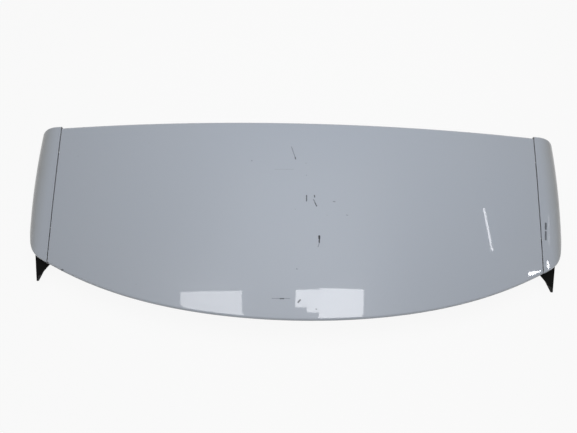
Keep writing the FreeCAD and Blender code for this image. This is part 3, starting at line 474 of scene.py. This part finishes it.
# Scratches and chips on the painted top, in millimetres: start, end, width and darkness
MARKS = (
    ((-12.0, 150.3), (-2.8, 123.3), 1.4, 0.45),
    ((-3.9, 127.0), (-2.8, 123.3), 1.8, 0.75),
    ((-95.5, 117.8), (-94.5, 117.3), 1.6, 0.40),
    ((-45.7, 99.2), (-5.9, 100.0), 0.8, 0.18),
    ((19.0, 114.8), (19.4, 113.8), 1.3, 0.22),
    ((20.2, 88.2), (20.4, 86.8), 1.3, 0.22),
    ((21.2, 43.7), (21.2, 32.0), 1.7, 0.80),
    ((37.2, 44.0), (37.9, 40.6), 1.8, 0.80),
    ((35.7, 34.9), (42.2, 21.7), 1.5, 0.60),
    ((38.6, 28.6), (42.2, 21.7), 1.7, 0.85),
    ((76.6, 32.2), (79.6, 31.8), 1.8, 0.45),
    ((103.4, 4.4), (106.0, 3.8), 1.7, 0.30),
    ((-2.2, 14.2), (-1.6, 13.4), 1.3, 0.20),
    ((63.4, 3.2), (63.9, 2.6), 1.3, 0.20),
    ((48.0, -41.2), (48.1, -46.0), 2.9, 1.00),
    ((48.1, -46.0), (48.1, -54.0), 1.9, 0.95),
    ((48.1, -55.1), (45.6, -63.3), 1.1, 0.50),
    ((-44.0, -167.2), (-8.6, -166.5), 0.9, 0.45),
    ((-28.0, -167.2), (-21.0, -167.1), 1.6, 0.85),
    ((3.5, -108.1), (4.2, -108.7), 1.5, 0.45),
    ((7.6, -173.4), (11.4, -169.0), 2.4, 0.75),
    ((42.8, -185.5), (43.8, -186.0), 1.8, 0.55),
    ((-318.4, 158.3), (-317.8, 157.6), 1.3, 0.15),
    ((-473.3, 131.6), (-472.7, 131.0), 1.3, 0.15),
    ((-304.8, 39.2), (-304.2, 38.6), 1.3, 0.15),
    ((-317.2, -142.8), (-316.5, -143.3), 1.3, 0.15),
    ((525.9, 6.0), (524.6, -5.9), 3.0, 0.85),
    ((523.9, -12.3), (522.2, -28.4), 3.0, 0.75),
    ((-477.1, -115.4), (-473.6, -114.6), 2.4, 0.75),
)


def mark_mask(x, y, start, end, width):
    """1 on a stroke, 0 off it: the distance to the nearest point of a segment, faded over the stroke's
    width."""
    (x0, y0), (x1, y1) = start, end
    dx, dy = x1 - x0, y1 - y0
    from_x, from_y = x - x0, y - y0
    share = x.node("ShaderNodeClamp", {}, {0: (from_x * dx + from_y * dy) / (dx * dx + dy * dy)})
    off_x, off_y = from_x - share * dx, from_y - share * dy
    return ((off_x * off_x + off_y * off_y) ** 0.5).fade(width, width * 0.35)


def paint_finish():
    """Light blue-grey paint under a clear coat, with fine flake, slight tint drift, handling dust, scratches,
    and painted shade: a darker, more neutral colour over the outer shoulders and sides of the end caps."""
    finish = Finish("paint_blue_grey", Specular_IOR_Level=0.5, Coat_Roughness=0.025, Coat_IOR=1.5)
    x, y, z = [part * (1 / MM) for part in finish.split()]
    wobble = (finish.noise(3.0) - 0.5) * 1.2
    scraped = None
    for start, end, width, dark in MARKS:
        mask = mark_mask(x + wobble, y + wobble, start, end, width) * dark
        scraped = mask if scraped is None else scraped.most(mask)
    scraped = scraped * z.fade(*MARK_FADE)
    tint = finish.noise(260.0).mix(PAINT, PAINT_COOL)
    soft_light = {"data_type": "RGBA", "blend_type": "SOFT_LIGHT"}
    flake = tint.node("ShaderNodeMix", soft_light, {0: 0.05, 6: tint, 7: finish.cells(0.35, out=1)}, out=2)
    outer = x.math("ABSOLUTE", x)
    # painted shade: the caps' outer shoulders and sides take a darker, more neutral colour, broken up a
    # little by noise
    side_shade = outer.fade(*SIDE_SHADE_FADE) * (0.55 + finish.noise(30.0, detail=4.0) * 0.3)
    finish.feed(Base_Color=scraped.mix(side_shade.mix(flake, SIDE_SHADE_COLOUR), PAINT_SCRAPED))
    dust = finish.noise(55.0, detail=6.0, roughness=0.65).fade(0.48, 0.78)
    finish.feed(Roughness=0.34 + dust * 0.06 + scraped * 0.3)
    finish.feed(Coat_Weight=1.0 - dust * 0.10 - scraped * 0.8)
    finish.bump(1.0 - scraped, 0.05, 0.6)
    return finish.material


def moulded_finish(name, colour, worn, roughness, grain_mm, depth_mm, gloss):
    """Moulded plastic: a cell grain in relief, a little lighter and rougher where hands and mould wear it."""
    finish = Finish(name, Specular_IOR_Level=gloss)
    wear = finish.noise(38.0, detail=5.0, roughness=0.6).fade(0.45, 0.8)
    finish.feed(Base_Color=wear.mix(colour, worn))
    finish.feed(Roughness=roughness + wear * 0.1)
    finish.bump(finish.cells(grain_mm).fade(0.1, 0.8), depth_mm, 0.5)
    return finish.material


def zinc_finish():
    """Zinc plate: pale grey metal with crystals that differ in tone, and a fine thread in relief along z."""
    finish = Finish("zinc_plate", Metallic=1.0)
    z = finish.split()[2]
    spangle = finish.cells(2.5)
    finish.feed(Base_Color=spangle.fade(0.0, 0.9).mix(rgb(0.50, 0.51, 0.53), rgb(0.62, 0.62, 0.60)))
    finish.feed(Roughness=0.28 + finish.noise(4.0) * 0.18)
    finish.bump(z.wave(THREAD_PITCH * MM) * 0.5 + 0.5, 0.25, 0.6)
    return finish.material


def lens_finish():
    """Clear red lens with upright prism ribs, and painted shade: a deeper red in the grooves between them."""
    finish = Finish("lens_red", Transmission_Weight=0.45, IOR=1.49, Coat_Weight=0.6, Coat_Roughness=0.03)
    x = finish.split()[0]
    wave = x.wave(LENS_RIB * MM) * 0.5 + 0.5
    # painted shade: the grooves between the ribs are a deeper red than the crests
    finish.feed(Base_Color=wave.mix(rgb(0.36, 0.006, 0.008), rgb(0.52, 0.012, 0.012)))
    finish.feed(Roughness=0.06 + finish.noise(20.0, detail=4.0) * 0.06)
    finish.bump(wave, 0.35, 0.7)
    return finish.material


def board_finish():
    """White solder mask with faint copper lines under it."""
    finish = Finish("circuit_board", Specular_IOR_Level=0.5)
    x = finish.split()[0]
    lines = x.wave(BOARD_LINE * MM).fade(0.86, 0.95)
    finish.feed(Base_Color=lines.mix(rgb(0.70, 0.70, 0.67), rgb(0.60, 0.61, 0.57)))
    finish.feed(Roughness=0.42 + finish.noise(6.0) * 0.12)
    return finish.material


def light_source_finish():
    """Clear pour over a yellow phosphor square."""
    finish = Finish("light_source", Coat_Weight=1.0, Coat_Roughness=0.05)
    finish.feed(Base_Color=finish.noise(1.0).mix(rgb(0.72, 0.56, 0.12), rgb(0.80, 0.68, 0.24)))
    finish.feed(Roughness=0.35 + finish.noise(0.8) * 0.1)
    return finish.material


def looked_at(tree):
    """1 for rays from the camera and for those that a gloss or a clear piece sends on, 0 for the rest."""
    outputs = Wire(tree).node("ShaderNodeLightPath").socket.node.outputs
    seen = Wire(tree, outputs["Is Camera Ray"])
    for name in ("Is Glossy Ray", "Is Transmission Ray"):
        seen = seen.most(Wire(tree, outputs[name]))
    return seen


def floor_finish():
    """Pale floor: seen from the camera or in a reflection it is nearly white and keeps a soft share of
    shadow."""
    finish = Finish("floor_pale", Base_Color=rgb(0.55, 0.55, 0.55), Roughness=0.9, Specular_IOR_Level=0.1)
    seen = looked_at(finish.tree)
    glow = finish.start.node("ShaderNodeEmission", {}, {"Color": WHITE, "Strength": 1.0})
    matt = Wire(finish.tree, finish.shader.outputs[0])
    blend = finish.start.node("ShaderNodeMixShader", {}, {0: seen * FLOOR_GLOW, 1: matt, 2: glow})
    finish.tree.links.new(blend.socket, finish.tree.nodes["Material Output"].inputs["Surface"])
    return finish.material


def dress(material, *nodes):
    """Gives CAD nodes a finish on their own material slots."""
    for name in nodes:
        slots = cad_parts[name].material_slots
        if not slots:
            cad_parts[name].data.materials.append(material)
        for slot in slots:
            slot.material = material


def place_camera():
    """Camera at a distance from a target, by azimuth, elevation and roll."""
    azimuth, elevation, roll = (math.radians(v) for v in (AZIMUTH, ELEVATION, ROLL))
    level = math.cos(elevation)
    back = Vector((math.sin(azimuth) * level, -math.cos(azimuth) * level, math.sin(elevation)))
    right = (-back).cross(Vector((0, 0, 1))).normalized()
    up = right.cross(-back)
    right, up = right * math.cos(roll) + up * math.sin(roll), up * math.cos(roll) - right * math.sin(roll)
    lens = bpy.data.cameras.new("camera")
    lens.sensor_fit = "HORIZONTAL"
    lens.sensor_width = 36.0
    lens.lens = FOCAL / PICTURE[0] * lens.sensor_width
    lens.clip_start = 0.01
    camera = bpy.data.objects.new("camera", lens)
    place = Matrix.Translation((Vector(TARGET) + back * DISTANCE) * MM)
    camera.matrix_world = place @ Matrix((right, up, back)).transposed().to_4x4()
    bpy.context.collection.objects.link(camera)
    bpy.context.scene.camera = camera


def panel(name, place, size, radiance, colour):
    """Flat lamp that faces straight down, by the brightness of its face."""
    lamp = bpy.data.lights.new(name, "AREA")
    lamp.shape = "RECTANGLE"
    lamp.size, lamp.size_y = size
    lamp.energy = radiance * math.pi * size[0] * size[1]
    lamp.color = colour
    shown = bpy.data.objects.new(name, lamp)
    shown.location = place
    bpy.context.collection.objects.link(shown)
    return shown


SOFT_BOX = ((0.06, 0.16, 1.40), (0.9, 0.7), 6.5, (0.96, 0.98, 1.0))   # place, size, brightness, colour

# Lamps whose reflections lie on the tail and beside the right seam: place, size, brightness and turn
REFLECTED = (
    ("window_left", (-0.72, -0.520, 2.5), (0.57, 0.50), 5.9, 1.9),
    ("window_right", (0.452, -0.4875, 2.5), (0.404, 0.525), 7.4, 0.0),
    ("window_right_step", (0.195, -0.334, 2.5), (0.110, 0.192), 7.4, 0.0),
    ("window_right_corner", (0.090, -0.3165, 2.5), (0.100, 0.147), 7.4, 0.0),
    ("tube", (1.92, 0.378, 2.5), (0.022, 0.41), 10.0, 10.0),
    ("tube_beyond", (2.682, 0.448, 2.5), (0.012, 0.31), 3.0, -5.5),
    ("lamp", (2.472, 0.005, 2.5), (0.185, 0.030), 30.0, 11.0),
    ("lamp_beyond", (2.640, 0.095, 2.5), (0.026, 0.070), 25.0, -4.0),
)


def place_light():
    """Even pale surroundings, a soft box over the middle that the paint doesn't mirror, and lamps that it
    only mirrors."""
    world = bpy.data.worlds.new("studio")
    bpy.context.scene.world = world
    world.use_nodes = True
    background = world.node_tree.nodes["Background"]
    surround = looked_at(world.node_tree).mix(SURROUND, WHITE)
    world.node_tree.links.new(surround.socket, background.inputs["Color"])
    panel("soft_box", *SOFT_BOX).visible_glossy = False
    for name, place, size, radiance, turn in REFLECTED:
        lamp = panel(name, place, size, radiance, (0.98, 0.98, 1.0))
        lamp.rotation_euler.z = math.radians(turn)
        lamp.visible_diffuse = False


def place_floor():
    """Square floor under the fins' feet."""
    mesh = bpy.data.meshes.new("floor")
    corners = np.array([(-1, -1, 0), (1, -1, 0), (1, 1, 0), (-1, 1, 0)]) * FLOOR_HALF
    mesh.from_pydata(corners.tolist(), [], [(0, 1, 2, 3)])
    mesh.materials.append(floor_finish())
    floor = bpy.data.objects.new("floor", mesh)
    bpy.context.collection.objects.link(floor)


bpy.context.scene.view_settings.view_transform = "Standard"
place_camera()
place_light()
place_floor()

paint = paint_finish()
skin_coat(paint)
cap_coat("paint_coat_right", 1, paint)
cap_coat("paint_coat_left", -1, paint)

# Moulded finishes: colour, colour where worn, roughness, grain, its depth, gloss and the nodes that have it
MOULDED = {
    "carrier_grey": (rgb(0.200, 0.205, 0.215), rgb(0.235, 0.240, 0.250), 0.5, 0.9, 0.03, 0.5,
                     ("upper_skin", "end_cap_left", "end_cap_right")),
    "fin_black": (rgb(0.0030, 0.0030, 0.0028), rgb(0.005, 0.005, 0.005), 0.45, 0.7, 0.02, 0.06,
                  ("side_fin_left", "side_fin_right")),
    "shell_black": (rgb(0.017, 0.017, 0.018), rgb(0.027, 0.027, 0.028), 0.55, 1.1, 0.06, 0.5,
                    ("lower_shell",)),
    "housing_grey": (rgb(0.09, 0.09, 0.095), rgb(0.12, 0.12, 0.125), 0.5, 0.8, 0.03, 0.5,
                     ("stop_lamp_housing",)),
    "rubber_black": (rgb(0.013, 0.013, 0.013), rgb(0.03, 0.03, 0.03), 0.75, 0.5, 0.03, 0.3,
                     ("stop_lamp_gasket", "buffers", "front_edge_seal")),
    "foam_black": (rgb(0.022, 0.022, 0.024), rgb(0.04, 0.04, 0.042), 0.9, 0.6, 0.2, 0.2,
                   ("stud_seals",)),
    "clip_natural": (rgb(0.60, 0.58, 0.50), rgb(0.66, 0.64, 0.57), 0.42, 1.0, 0.02, 0.5,
                     ("retaining_clips",)),
}
for finish_name, (*settings, nodes) in MOULDED.items():
    dress(moulded_finish(finish_name, *settings), *nodes)
dress(zinc_finish(), "mounting_studs", "stop_lamp_screws", "cap_screws_left", "cap_screws_right",
      "fin_screws_left", "fin_screws_right")
dress(lens_finish(), "stop_lamp_lens")
dress(board_finish(), "stop_lamp_board")
dress(light_source_finish(), "stop_lamp_leds")
